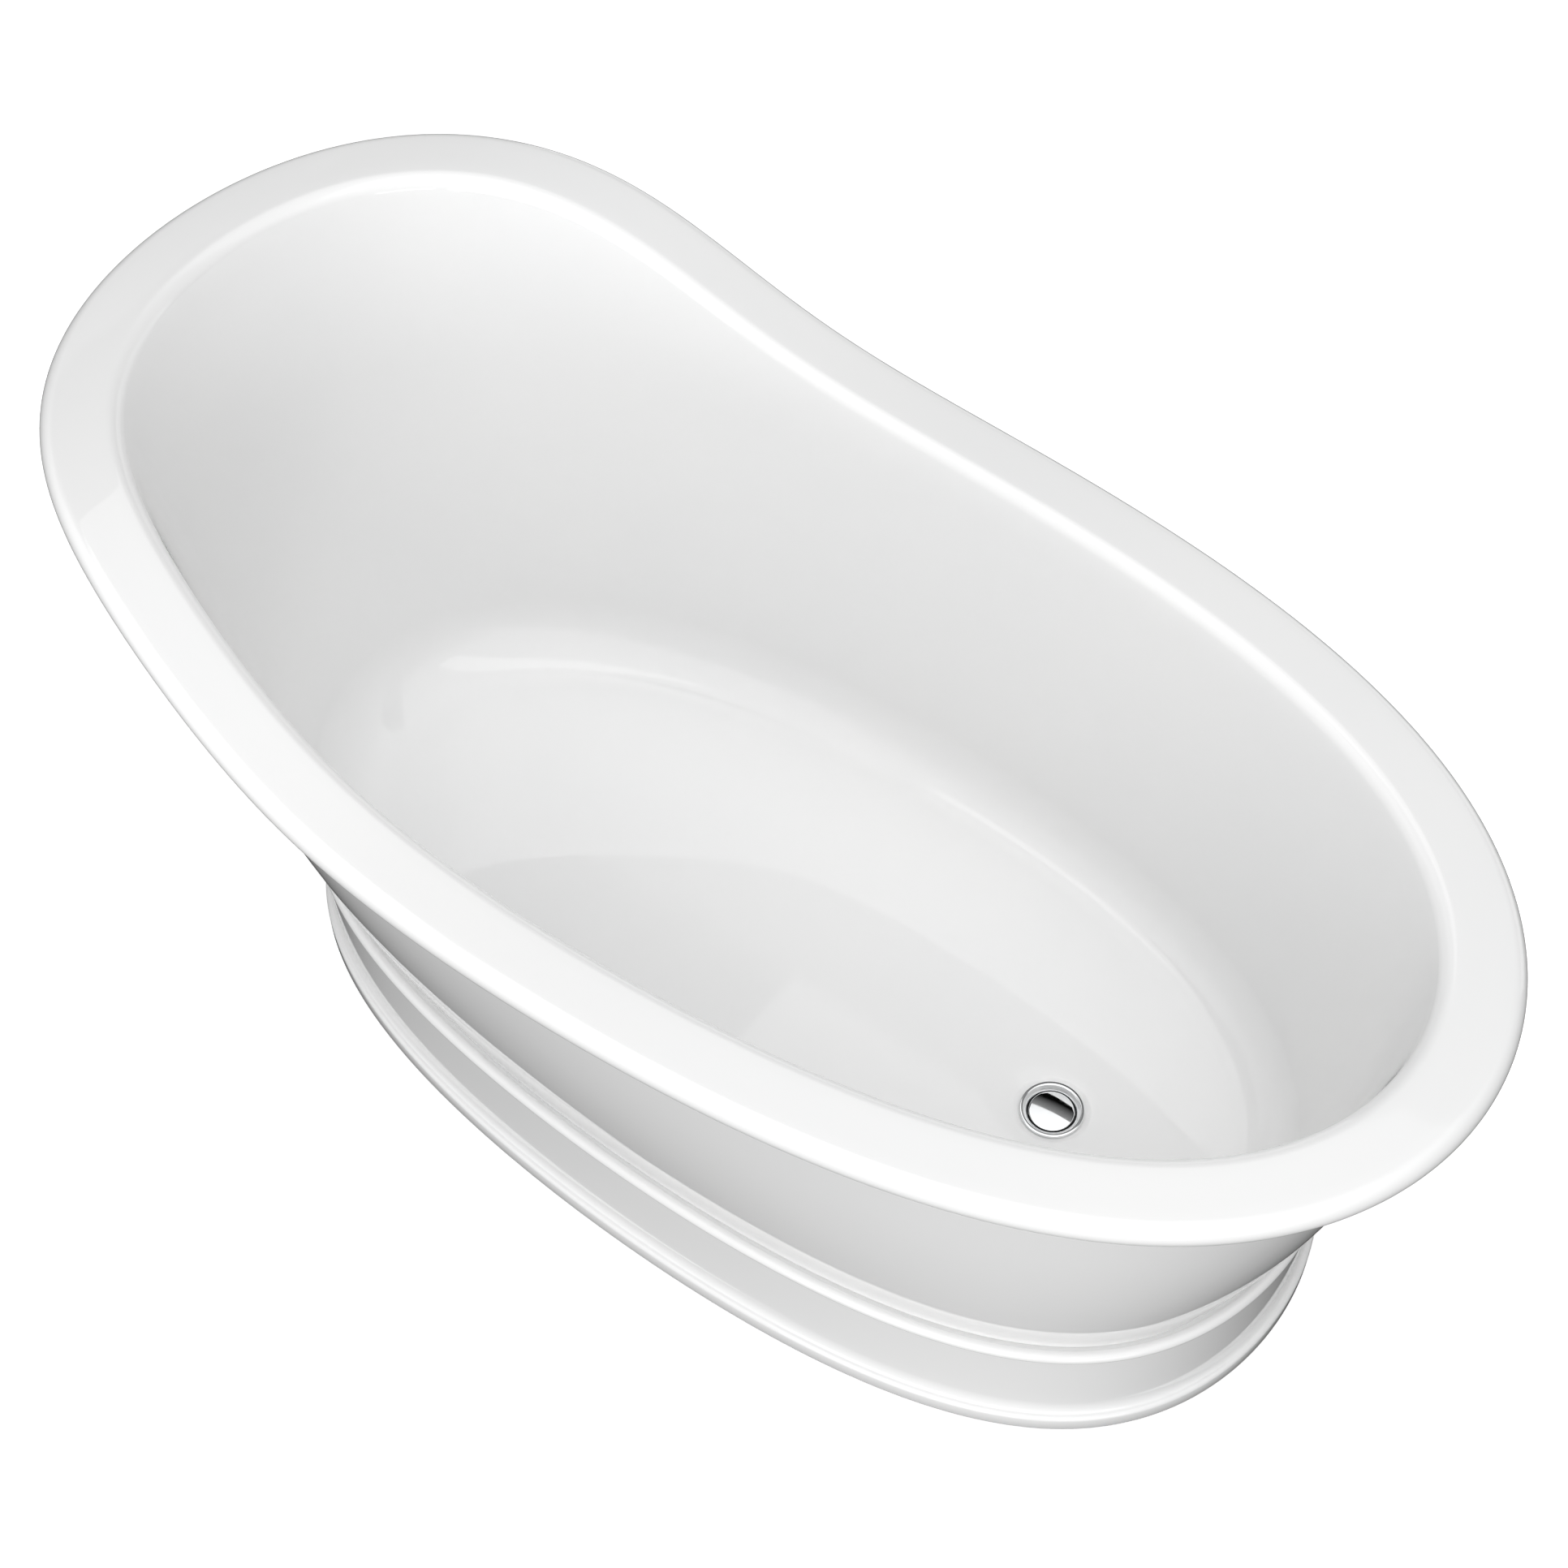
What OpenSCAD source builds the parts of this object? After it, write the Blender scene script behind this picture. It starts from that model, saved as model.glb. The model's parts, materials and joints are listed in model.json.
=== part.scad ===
// Freestanding slipper bathtub on a plinth.
// A double-skinned acrylic body stands on a bolted steel frame with five screw
// feet, and drains through a press-to-open waste in the floor.
// Millimetres. +X runs to the foot end with the waste, -X to the raised back,
// +Z up. The origin is on the floor, midway along and across the rim.

/* [Rim] */
// Length over the rim
tub_length = 1600; // [1540:10:1660]
// Width over the rim at mid-length
tub_width = 884; // [868:1:900]
// Height of the low side of the rim at mid-length, before the sweep is added
low_height = 573.5; // [565:0.5:590]
// Rise of the rim from the low side to the back
back_rise = 186; // [140:2:200]
// Fall of the rim from the back to the foot end
foot_fall = 16; // [0:1:20]
// Distance from mid-length to the middle of the sweep
sweep_x = 394; // [360:2:420]
// Half of the length that the sweep takes
sweep_length = 188; // [170:1:220]
// Width of the flat rim with its roll
rim_width = 79; // [76:1:86]
// Radius of the rolled outer edge
roll_r = 15.5; // [14:0.5:17]
// Radius of the inner edge of the rim
lip_r = 14; // [8:1:16]

/* [Basin] */
// Height of the bathing floor above the ground
floor_z = 142.5; // [140:0.5:150]
// Half-length of the floor, to the foot of the walls
floor_half_length = 602; // [590:1:604]
// Half-width of the floor, to the foot of the walls
floor_half_width = 314; // [300:1:314]
// Distance from mid-length to the middle of the floor
floor_x = 24; // [16:1:26]
// Length of each leg of the curve between floor and wall at the foot end
cove_leg = 50; // [40:1:56]
// Extra length of those legs at the back
back_cove = 22; // [0:1:30]
// Thickness of the basin wall
wall_t = 4.5; // [4:0.5:5]
// Thickness of the basin floor
floor_t = 7; // [6:0.5:8]

/* [Apron] */
// Distance from the edge of the rim to the apron wall
apron_inset = 60; // [58:1:62]
// Exponent of the apron's bulge, where 1 is a straight wall
apron_bulge = 1.8; // [1.7:0.1:2.2]
// Thickness of the apron
apron_t = 3.5; // [3:0.5:4]

/* [Plinth] */
// Half-length of the plinth at the floor
base_half_length = 635.5; // [628:0.5:645]
// Half-width of the plinth at the floor
base_half_width = 343; // [340:1:350]
// Distance from mid-length to the middle of the plinth
base_x = 38; // [34:1:42]
// Height of the ledge that the apron stands on
ledge_z = 148; // [146:1:150]
// Distance from the plinth's foot to the apron wall
ledge_inset = 18.5; // [18:0.5:20]
// Radius of the bead round the ledge
bead_r = 7; // [5:0.5:8]
// Levelling gap between the plinth and the ground
plinth_gap = 1; // [0.5:0.5:1]

/* [Waste] */
// Distance from mid-length to the waste
waste_x = 376; // [350:1:390]
// Outer radius of the waste flange
flange_r = 35; // [34:0.5:36]
// Radius of the waste's barrel, which the back nut runs on
barrel_r = 25.5; // [25:0.5:26]
// Outer radius of the threaded tail, G 1 1/2
tail_r = 23.9; // [23.9]
// Length of bare tail below the back nut
tail_length = 40; // [30:1:50]
// Radius of the domed plug
plug_r = 24.5; // [23:0.5:24.5]
// Rise of the plug from shut to open
plug_travel = 9.5; // [8:0.5:9.5]

/* [Frame] */
// Width and height of the square steel tube
tube = 25; // [25]
// Wall of the square steel tube
tube_t = 2; // [1.5:0.5:3]
// Half the distance between the rails
rail_y = 130; // [110:5:140]
// Thickness of the base board
board_t = 18; // [18]
// Thread radius of the screw feet
stud_r = 6; // [6]
// Radius of the foot pads
pad_r = 25; // [20:1:30]

/* [Hidden] */

// Stations round the tub
stations = 72;
// Ovals as [half-length, half-width, centre x], then what makes them differ from
// an ellipse: fuller ends, fuller sides, width moved to the foot end, shoulders
rim_oval = [tub_length / 2, tub_width / 2, 0, 0.007, 0.054, -0.038, -0.008];
floor_oval = [floor_half_length, floor_half_width, floor_x, 0.005, 0.03, 0, 0];
base_oval = [base_half_length, base_half_width, base_x, 0.024, 0.039, 0.02, 0];

// Gaps and fits
bond_gap = 0.5;
board_gap = 14;
run_fit = 0.06;
tap_fit = 0.01;
smooth = 64;

// Heights down through the floor
board_top = floor_z - floor_t;
rail_top = board_top - board_t;
rail_low = rail_top - tube;
bar_low = rail_low - tube;

// Crossbars stand where these angles meet the plinth
bar_angles = [134, 90, 44];
bar_x = [for (a = bar_angles) oval_point(a, base_oval, 0).x];
bar_y = [for (a = bar_angles) oval_point(a, base_oval, 0).y];
bar_end_gap = [36, 30, 36];
bar_half = [for (i = [0:2]) bar_y[i] - bar_end_gap[i]];
rail_end = 32;

// Screw feet as [crossbar, y]
foot_head_y = 165;
foot_foot_y = 172;
feet = [
  [bar_x[0], foot_head_y], [bar_x[0], -foot_head_y], [bar_x[1], 0],
  [bar_x[2], foot_foot_y], [bar_x[2], -foot_foot_y]
];
pad_h = 14;
pad_rim_h = 5;
pad_edge = 1;
stud_low = 6;
pad_step_r = 13;
collar_z = 22;
collar_h = 7;
stud_top = bar_low + tube - 1;
nut_af = 19;
nut_h = 10;
lock_nut_h = 7;

// Frame fasteners
bolt_r = 4;
bolt_head_r = 7.5;
bolt_head_h = 5;
rivet_r = 5.5;
rivet_h = 12;
rivet_flange_r = 8;
rivet_flange_h = 1.5;
board_screw_r = 2.25;
board_screw_depth = 14;
board_screw_head_r = 5;
board_screw_head_h = 3;
board_screw_xs = [-330, -110, 150, 300];
board_hole_r = 46;
access_r = 7;

// Brackets between crossbars and ledge
bracket_w = 17;
bracket_t = 3;
bracket_low_leg = 22;
bracket_high_leg = 16;
bracket_hole_y = 8;
ledge_t = 5;
ledge_depth = 27;
bracket_screw_r = 2.5;
bracket_screw_head_r = 4.5;
bracket_screw_head_h = 3;

// Waste heights, down from the bathing floor
dish_r = 43;
dish_depth = 2;
seat_r = 36;
floor_hole_r = 28;
gasket_t = 1;
gasket_z = floor_z - dish_depth;
flange_z = gasket_z + gasket_t;
flange_h = 3;
plug_seat_z = flange_z - 5;
cup_r = floor_hole_r - 0.5;
throat_r = 20.5;
seal_t = 4;
washer_t = 2;
back_nut_h = 12;
back_nut_af = 62;
back_nut_z = board_top - seal_t - washer_t - back_nut_h;
tail_end = back_nut_z - tail_length;
cross_z = plug_seat_z - 38;
cross_h = 5;
cross_w = 3;
hub_r = 8;

// Plug cartridge
spigot_r = 4;
spigot_end = 4;
cartridge_r = 8.5;
cartridge_z = cross_z + cross_h;
cavity_r = 6;
cavity_low = cartridge_z + 3;
cavity_h = 21;
cartridge_cap_h = 3;
stem_r = 3;
piston_r = 5.6;
piston_h = 3;
piston_z = cavity_low + cavity_h - piston_h - plug_travel - 0.3;
spring_r = 4.4;
spring_wire = 0.4;
spring_turns = 4;
plug_edge_z = plug_seat_z + 2.3;
plug_edge_h = 1.6;
plug_skirt_h = 4;
plug_skirt_t = 3;
plug_dome_h = 1.2;
plug_seal_t = 2;
plug_seal_z = plug_edge_z - plug_seal_t;
plug_seal_inset = 0.8;
plug_seal_lap = 3;

// ---------------------------------------------------------------- outlines

// Point on an oval at angle a, moved inwards by d along the outline's normal
function oval_point(a, o, d) =
  let (
    x = o[2] + o[0] * (cos(a) + o[3] * (cos(a) - cos(3 * a))),
    y = o[1] * (sin(a) + o[4] * (sin(a) + sin(3 * a)) + o[5] * sin(2 * a) + o[6] * sin(4 * a)),
    dx = -o[0] * (sin(a) + o[3] * (sin(a) - 3 * sin(3 * a))),
    dy = o[1] * (cos(a) + o[4] * (cos(a) + 3 * cos(3 * a))
      + 2 * o[5] * cos(2 * a) + 4 * o[6] * cos(4 * a)),
    n = norm([dx, dy])
  )
  [x - d * dy / n, y + d * dx / n];

// Height of the rim above the floor at x
function rim_z(x) =
  low_height + foot_fall / 4
  + back_rise / (1 + exp(2 * (x + sweep_x) / sweep_length))
  - foot_fall * pow((1 + 2 * x / tub_length) / 2, 2);

// Point under the rim, inset from its edge and dropped below its top
function rim_point(a, inset, drop) =
  let (p = oval_point(a, rim_oval, inset))
  [p.x, p.y, rim_z(p.x) - drop];

// Point on an oval at a fixed height
function level_point(a, o, inset, z) =
  let (p = oval_point(a, o, inset))
  [p.x, p.y, z];

// Point at a distance from c towards b
function step_to(c, b, d) = c + (b - c) * d / norm(b - c);

// Quarter curve from a to b that rounds the corner c
function corner(a, c, b, n) =
  [for (i = [0:n]) let (s = 90 * i / n) c + (a - c) * (1 - sin(s)) + (b - c) * (1 - cos(s))];

// Length of the curve's legs between floor and wall at station a
function cove(a) = cove_leg + back_cove * pow((1 - cos(a)) / 2, 2);

// ---------------------------------------------------------------- sections

// One side of the basin wall at station a, from the end of the roll to the
// floor. A depth t of 0 is the bathing side, and wall_t is the hidden side.
function basin_side(a, t, drop, roll_n, lip_n, cove_n) =
  let (
    r = roll_r - t,
    c = rim_point(a, rim_width - t, t),
    deck = rim_point(a, rim_width - lip_r, t),
    k = level_point(a, floor_oval, -t, floor_z - drop),
    edge = level_point(a, floor_oval, cove(a), floor_z - drop)
  )
  concat(
    [for (i = [0:roll_n]) let (s = -90 + 180 * i / roll_n)
      rim_point(a, roll_r - r * cos(s), roll_r - r * sin(s))],
    corner(deck, c, step_to(c, k, lip_r - t), lip_n),
    [(c + k) / 2],
    corner(step_to(k, c, cove(a) + t), k, edge, cove_n)
  );

// The basin's whole section: hidden side out to the roll, bathing side back in
function basin_section(a) =
  let (
    hidden = basin_side(a, wall_t, floor_t, 5, 3, 4),
    bathing = basin_side(a, 0, 0, 8, 4, 6),
    n = len(hidden)
  )
  concat([for (i = [n - 1:-1:0]) hidden[i]], bathing);

// One side of the apron wall, from the ledge up to the rim's underside
function apron_side(a, t, n) =
  let (
    low = level_point(a, base_oval, ledge_inset + t, ledge_z),
    top = rim_point(a, apron_inset + t, 2 * roll_r - t),
    turn = rim_point(a, apron_inset + t - lip_r, 2 * roll_r - t),
    wall = [for (i = [0:n]) let (q = i / n, g = 1 - pow(1 - q, apron_bulge))
      [low.x + (top.x - low.x) * g, low.y + (top.y - low.y) * g, low.z + (top.z - low.z) * q]],
    bend = step_to(top, wall[n - 1], lip_r)
  )
  concat([for (i = [0:n - 1]) wall[i]], corner(bend, top, turn, 3));

function apron_section(a) =
  let (
    outer = apron_side(a, 0, 9),
    inner = apron_side(a, apron_t, 9),
    n = len(inner),
    flange_inset = roll_r + bond_gap
  )
  concat(
    outer,
    [rim_point(a, flange_inset, 2 * roll_r), rim_point(a, flange_inset, 2 * roll_r - apron_t)],
    [for (i = [n - 1:-1:0]) inner[i]]
  );

// The plinth's profile as [inset, height]: an upright foot, a round shoulder, a
// flare up to the ledge bead, the ledge, and the hidden side back down
foot_chamfer = 2;
foot_top = 19;
shoulder_r = 5;
flare_in = 5;
flare_top = 42;
flare_h = flare_top - foot_top - shoulder_r;
bead_inset = 9.5;
bead_z = ledge_z + bead_r / 2 - bead_r;
bead_foot_inset = 16;
skin_inset = 15;
plinth_profile = concat(
  [[foot_chamfer, plinth_gap], [0, plinth_gap + foot_chamfer]],
  [for (s = [0:30:90]) [shoulder_r * (1 - cos(s)), foot_top + shoulder_r * sin(s)]],
  [for (s = [30:30:90]) [shoulder_r + flare_in * sin(s), flare_top - flare_h * cos(s)]],
  [for (s = [-60:30:120]) [bead_inset - bead_r * cos(s), bead_z + bead_r * sin(s)]],
  [[bead_foot_inset, ledge_z], [ledge_depth, ledge_z], [ledge_depth, ledge_z - ledge_t],
    [skin_inset, ledge_z - ledge_t], [skin_inset, plinth_gap]]
);

function plinth_section(a) = [for (p = plinth_profile) level_point(a, base_oval, p[0], p[1])];

// Timber batten bonded inside the rim
batten_out = 24;
batten_in = 54;
batten_top = wall_t + bond_gap + 0.5;
batten_low = 2 * roll_r - apron_t - bond_gap - 1;

function batten_section(a) = [
  rim_point(a, batten_out, batten_low), rim_point(a, batten_out, batten_top),
  rim_point(a, batten_in, batten_top), rim_point(a, batten_in, batten_low)
];

// ---------------------------------------------------------------- solids

// Solid ring swept through closed sections
module ring_solid(sections) {
  n = len(sections);
  m = len(sections[0]);
  points = [for (s = sections, p = s) p];
  faces = [for (i = [0:n - 1], j = [0:m - 1])
    let (i2 = (i + 1) % n, j2 = (j + 1) % m)
    each [
      [i * m + j, i * m + j2, i2 * m + j2],
      [i * m + j, i2 * m + j2, i2 * m + j]
    ]];
  polyhedron(points, faces);
}

// Solid bowl swept through open sections that start and end on the axis
module bowl_solid(sections, axis_x) {
  n = len(sections);
  m = len(sections[0]);
  first = n * m;
  last = n * m + 1;
  points = concat(
    [for (s = sections, p = s) p],
    [[axis_x, 0, sections[0][0].z], [axis_x, 0, sections[0][m - 1].z]]
  );
  strips = [for (i = [0:n - 1], j = [0:m - 2])
    let (i2 = (i + 1) % n)
    each [
      [i * m + j, i * m + j + 1, i2 * m + j + 1],
      [i * m + j, i2 * m + j + 1, i2 * m + j]
    ]];
  caps = [for (i = [0:n - 1])
    let (i2 = (i + 1) % n)
    each [
      [first, i * m, i2 * m],
      [last, i2 * m + m - 1, i * m + m - 1]
    ]];
  polyhedron(points, concat(strips, caps));
}

module hex_nut(af, h, bore_r) {
  difference() {
    cylinder(r = af / sqrt(3), h = h, $fn = 6);
    translate([0, 0, -1]) cylinder(r = bore_r, h = h + 2, $fn = smooth);
  }
}

module washer(outer_r, inner_r, h) {
  difference() {
    cylinder(r = outer_r, h = h, $fn = smooth);
    translate([0, 0, -1]) cylinder(r = inner_r, h = h + 2, $fn = smooth);
  }
}

module at_waste(z) {
  translate([waste_x, 0, z]) children();
}

// ---------------------------------------------------------------- body

module basin() {
  color("white")
    difference() {
      bowl_solid([for (i = [0:stations - 1]) basin_section(360 * i / stations)], floor_x);
      at_waste(board_top - 1) cylinder(r = floor_hole_r, h = floor_t + 2, $fn = smooth);
      at_waste(gasket_z)
        rotate_extrude($fn = smooth)
          polygon([[0, 0], [seat_r, 0], [dish_r, dish_depth], [dish_r, dish_depth + 1],
            [0, dish_depth + 1]]);
    }
}

module apron() {
  color("white")
    ring_solid([for (i = [0:stations - 1]) apron_section(360 * i / stations)]);
}

module plinth() {
  color("white")
    difference() {
      ring_solid([for (i = [0:stations - 1]) plinth_section(360 * i / stations)]);
      for (i = [0:2], side = [-1, 1])
        translate([bar_x[i], side * bracket_screw_y(i), ledge_z - ledge_t - 1])
          cylinder(r = bracket_screw_r, h = ledge_t - 1, $fn = smooth);
    }
}

module rim_batten() {
  color("burlywood")
    ring_solid([for (i = [0:stations - 1]) batten_section(360 * i / stations)]);
}

module base_board() {
  color("burlywood")
    difference() {
      translate([0, 0, rail_top])
        linear_extrude(board_t)
          polygon([for (i = [0:stations - 1])
            oval_point(360 * i / stations, floor_oval, cove(360 * i / stations) + board_gap)]);
      at_waste(rail_top - 1) cylinder(r = board_hole_r, h = board_t + 2, $fn = smooth);
      for (x = board_screw_xs, side = [-1, 1])
        translate([x, side * rail_y, rail_top - 1])
          cylinder(r = board_screw_r, h = board_screw_depth + 1, $fn = smooth);
    }
}

// ---------------------------------------------------------------- frame

module square_tube(length) {
  difference() {
    translate([-length / 2, -tube / 2, 0]) cube([length, tube, tube]);
    translate([-length / 2 - 1, -tube / 2 + tube_t, tube_t])
      cube([length + 2, tube - 2 * tube_t, tube - 2 * tube_t]);
  }
}

module rail(side) {
  x0 = bar_x[0] - rail_end;
  x1 = bar_x[2] + rail_end;
  color("dimgray")
    difference() {
      translate([(x0 + x1) / 2, side * rail_y, rail_low]) square_tube(x1 - x0);
      for (x = bar_x)
        translate([x, side * rail_y, rail_low - 1])
          cylinder(r = rivet_r, h = tube_t + 2, $fn = smooth);
      for (x = board_screw_xs)
        translate([x, side * rail_y, rail_low - 1]) {
          cylinder(r = access_r, h = tube_t + 2, $fn = smooth);
          cylinder(r = board_screw_r, h = tube + 2, $fn = smooth);
        }
    }
}

module crossbar(i) {
  color("dimgray")
    difference() {
      translate([bar_x[i], 0, bar_low]) rotate([0, 0, 90]) square_tube(2 * bar_half[i]);
      for (side = [-1, 1])
        translate([bar_x[i], side * rail_y, bar_low - 1])
          cylinder(r = bolt_r, h = tube + 2, $fn = smooth);
      for (f = feet)
        if (f.x == bar_x[i])
          translate([f.x, f.y, bar_low - 1])
            cylinder(r = stud_r + run_fit, h = tube + 2, $fn = smooth);
      for (side = [-1, 1])
        translate([bar_x[i], side * (bar_half[i] - bracket_low_leg / 2), bar_low + tube - tube_t - 1])
          cylinder(r = bracket_screw_r, h = tube_t + 2, $fn = smooth);
    }
}

module at_frame_joints() {
  for (x = bar_x, side = [-1, 1]) translate([x, side * rail_y, 0]) children();
}

module rivet_nuts() {
  color("silver")
    at_frame_joints()
      translate([0, 0, rail_low])
        difference() {
          union() {
            cylinder(r = rivet_r, h = rivet_h, $fn = smooth);
            translate([0, 0, tube_t]) cylinder(r = rivet_flange_r, h = rivet_flange_h, $fn = smooth);
          }
          translate([0, 0, -1]) cylinder(r = bolt_r, h = rivet_h + 2, $fn = smooth);
        }
}

module frame_bolts() {
  color("silver")
    at_frame_joints() {
      translate([0, 0, bar_low - bolt_head_h])
        cylinder(r = bolt_head_r, h = bolt_head_h, $fn = 6);
      translate([0, 0, bar_low]) cylinder(r = bolt_r, h = tube + rivet_h - 1, $fn = smooth);
    }
}

module board_screws() {
  color("gold")
    for (x = board_screw_xs, side = [-1, 1])
      translate([x, side * rail_y, 0]) {
        translate([0, 0, rail_top - tube_t - board_screw_head_h])
          cylinder(r = board_screw_head_r, h = board_screw_head_h, $fn = smooth);
        translate([0, 0, rail_top - tube_t])
          cylinder(r = board_screw_r, h = tube_t + board_screw_depth, $fn = smooth);
      }
}

// Middle of a bracket's upper leg, under the ledge
function bracket_screw_y(i) = bar_half[i] + bracket_hole_y;

module bracket(i) {
  y0 = bar_half[i] - bracket_low_leg;
  y1 = bar_half[i];
  y2 = bar_half[i] - bracket_t + bracket_high_leg;
  z0 = bar_low + tube;
  z1 = ledge_z - ledge_t;
  difference() {
    rotate([90, 0, 90])
      linear_extrude(bracket_w, center = true)
        polygon([[y0, z0], [y1, z0], [y1, z1 - bracket_t], [y2, z1 - bracket_t], [y2, z1],
          [y1 - bracket_t, z1], [y1 - bracket_t, z0 + bracket_t], [y0, z0 + bracket_t]]);
    translate([0, bar_half[i] - bracket_low_leg / 2, z0 - 1])
      cylinder(r = bracket_screw_r, h = bracket_t + 2, $fn = smooth);
    translate([0, bracket_screw_y(i), z1 - bracket_t - 1])
      cylinder(r = bracket_screw_r, h = bracket_t + 2, $fn = smooth);
  }
}

module at_bracket(i) {
  for (side = [0, 1]) translate([bar_x[i], 0, 0]) mirror([0, side, 0]) children();
}

module plinth_brackets() {
  color("silver") for (i = [0:2]) at_bracket(i) bracket(i);
}

module bracket_screw(grip) {
  cylinder(r = bracket_screw_r, h = grip, $fn = smooth);
  translate([0, 0, grip]) cylinder(r = bracket_screw_head_r, h = bracket_screw_head_h, $fn = smooth);
}

module bracket_screws() {
  z0 = bar_low + tube;
  z1 = ledge_z - ledge_t;
  color("gold")
    for (i = [0:2])
      at_bracket(i) {
        translate([0, bar_half[i] - bracket_low_leg / 2, z0 - tube_t])
          bracket_screw(tube_t + bracket_t);
        translate([0, bracket_screw_y(i), z1 + ledge_t - 2])
          mirror([0, 0, 1]) bracket_screw(ledge_t - 2 + bracket_t);
      }
}

// ---------------------------------------------------------------- screw feet

module foot_weld_nuts() {
  color("silver")
    for (f = feet)
      translate([f.x, f.y, bar_low - nut_h]) hex_nut(nut_af, nut_h, stud_r + run_fit);
}

module foot_lock_nuts() {
  color("silver")
    for (f = feet)
      translate([f.x, f.y, bar_low - nut_h - lock_nut_h]) hex_nut(nut_af, lock_nut_h, stud_r + run_fit);
}

module foot_stud(i) {
  color("silver")
    translate([feet[i].x, feet[i].y, 0]) {
      translate([0, 0, stud_low]) cylinder(r = stud_r, h = stud_top - stud_low, $fn = smooth);
      translate([0, 0, collar_z]) cylinder(r = nut_af / sqrt(3), h = collar_h, $fn = 6);
    }
}

module foot_pad(i) {
  color("black")
    translate([feet[i].x, feet[i].y, 0])
      difference() {
        rotate_extrude($fn = smooth)
          polygon([[0, 0], [pad_r - pad_edge, 0], [pad_r, pad_edge], [pad_r, pad_rim_h],
            [pad_step_r, pad_h], [0, pad_h]]);
        translate([0, 0, stud_low]) cylinder(r = stud_r, h = pad_h, $fn = smooth);
      }
}

// ---------------------------------------------------------------- waste

module flange_gasket() {
  color("black") at_waste(gasket_z) washer(flange_r - 2, floor_hole_r, gasket_t);
}

module waste_flange() {
  top = flange_h;
  seat = plug_seat_z - flange_z;
  step = back_nut_z - flange_z;
  end = tail_end - flange_z;
  color("silver")
    at_waste(flange_z) {
      rotate_extrude($fn = smooth)
        polygon([
          [throat_r, end], [tail_r, end], [tail_r, step], [barrel_r, step],
          [barrel_r, seat - 1], [cup_r, seat - 1], [cup_r, 0],
          [flange_r - 1.5, 0], [flange_r, 1], [flange_r, 1.8],
          [flange_r - 1, top - 0.2], [flange_r - 2.2, top], [flange_r - 3.4, top - 0.3],
          [flange_r - 7, top - 2.2], [flange_r - 9, top - 5], [plug_r + 1.2, seat + 2],
          [plug_r + 0.6, seat], [throat_r, seat]
        ]);
      translate([0, 0, cross_z - flange_z])
        difference() {
          union() {
            cylinder(r = hub_r, h = cross_h, $fn = smooth);
            for (a = [0, 90])
              rotate([0, 0, a])
                translate([-throat_r - 1, -cross_w / 2, 0]) cube([2 * throat_r + 2, cross_w, cross_h]);
          }
          translate([0, 0, -1]) cylinder(r = spigot_r, h = cross_h + 2, $fn = smooth);
        }
    }
}

module waste_seal() {
  color("black") at_waste(board_top - seal_t) washer(flange_r, barrel_r + tap_fit, seal_t);
}

module friction_washer() {
  color("whitesmoke")
    at_waste(board_top - seal_t - washer_t) washer(flange_r, barrel_r + tap_fit, washer_t);
}

module back_nut() {
  color("silver") at_waste(back_nut_z) hex_nut(back_nut_af, back_nut_h, barrel_r + tap_fit);
}

module cartridge_body() {
  color("gold")
    at_waste(0)
      difference() {
        union() {
          translate([0, 0, cartridge_z])
            cylinder(r = cartridge_r, h = cavity_low + cavity_h - cartridge_z, $fn = smooth);
          translate([0, 0, cross_z - spigot_end])
            cylinder(r = spigot_r, h = cross_h + spigot_end, $fn = smooth);
        }
        translate([0, 0, cavity_low]) cylinder(r = cavity_r, h = cavity_h + 1, $fn = smooth);
      }
}

module cartridge_cap() {
  color("gold")
    at_waste(cavity_low + cavity_h) washer(cartridge_r, stem_r + run_fit, cartridge_cap_h);
}

// One closed helix of round wire between the cavity floor and the piston
module plug_spring() {
  sides = 8;
  rings = 60;
  rise = piston_z - cavity_low - 2 * spring_wire;
  points = [for (i = [0:rings], j = [0:sides - 1])
    let (
      a = 360 * spring_turns * i / rings,
      b = 360 * j / sides,
      r = spring_r + spring_wire * cos(b)
    )
    [r * cos(a), r * sin(a), cavity_low + spring_wire + rise * i / rings + spring_wire * sin(b)]];
  walls = [for (i = [0:rings - 1], j = [0:sides - 1])
    let (j2 = (j + 1) % sides, p = i * sides, q = (i + 1) * sides)
    each [[p + j, q + j2, q + j], [p + j, p + j2, q + j2]]];
  ends = [[for (j = [sides - 1:-1:0]) j], [for (j = [0:sides - 1]) rings * sides + j]];
  color("silver") at_waste(0) polyhedron(points, concat(walls, ends));
}

module plug_stem() {
  color("silver")
    at_waste(piston_z) {
      cylinder(r = piston_r, h = piston_h, $fn = smooth);
      cylinder(r = stem_r, h = plug_edge_z + plug_edge_h - piston_z, $fn = smooth);
    }
}

module plug_seal() {
  color("black")
    at_waste(plug_seal_z) washer(plug_r - plug_seal_inset, throat_r - plug_seal_lap, plug_seal_t);
}

module plug_cap() {
  dome_r = (plug_r * plug_r + plug_dome_h * plug_dome_h) / (2 * plug_dome_h);
  dome_angle = asin(plug_r / dome_r);
  dome_steps = 12;
  color("silver")
    at_waste(plug_edge_z)
      rotate_extrude($fn = smooth)
        polygon(concat(
          [[stem_r, plug_edge_h], [stem_r, -plug_skirt_h], [stem_r + plug_skirt_t, -plug_skirt_h],
            [stem_r + plug_skirt_t, 0], [plug_r, 0]],
          [for (i = [dome_steps:-1:0]) let (a = dome_angle * i / dome_steps)
            [dome_r * sin(a), plug_edge_h + plug_dome_h - dome_r * (1 - cos(a))]],
          [[0, plug_edge_h]]
        ));
}

// ---------------------------------------------------------------- assembly

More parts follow.
